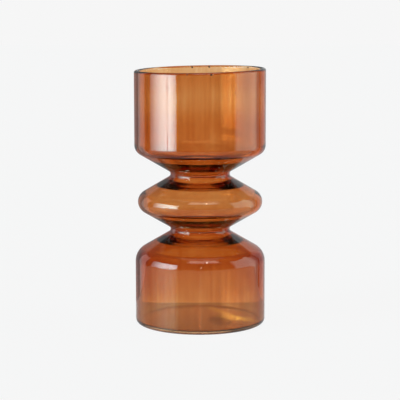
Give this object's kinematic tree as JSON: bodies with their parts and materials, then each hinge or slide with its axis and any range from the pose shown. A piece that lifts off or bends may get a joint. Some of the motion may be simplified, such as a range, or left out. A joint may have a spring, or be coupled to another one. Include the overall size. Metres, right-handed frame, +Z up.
{
  "type": "glass vase",
  "caption": "Tall amber glass vase with an open cup over a flattened disc and a straight chamber, joined by narrow throats, on a flat base.",
  "frame": {"origin": "centre of the flat face that the vase stands on", "axes": "+Z up along the vase's axis, +X to the right and -Y to the front as the picture sees it"},
  "size_m": [0.125, 0.125, 0.2446],
  "materials": {
    "base_glass": "clear borosilicate glass with an amber lustre on its inner face, fire polished",
    "chamber_glass": "clear borosilicate glass with an amber lustre on its inner face, fire polished",
    "disc_glass": "clear borosilicate glass with an amber lustre on its inner face, fire polished",
    "cup_glass": "clear borosilicate glass with an amber lustre on its inner face, fire polished"
  },
  "bodies": {
    "root": {"base_disc": "base_glass", "lower_chamber": "chamber_glass", "waist_disc": "disc_glass", "upper_cup": "cup_glass"}
  },
  "joints": []
}
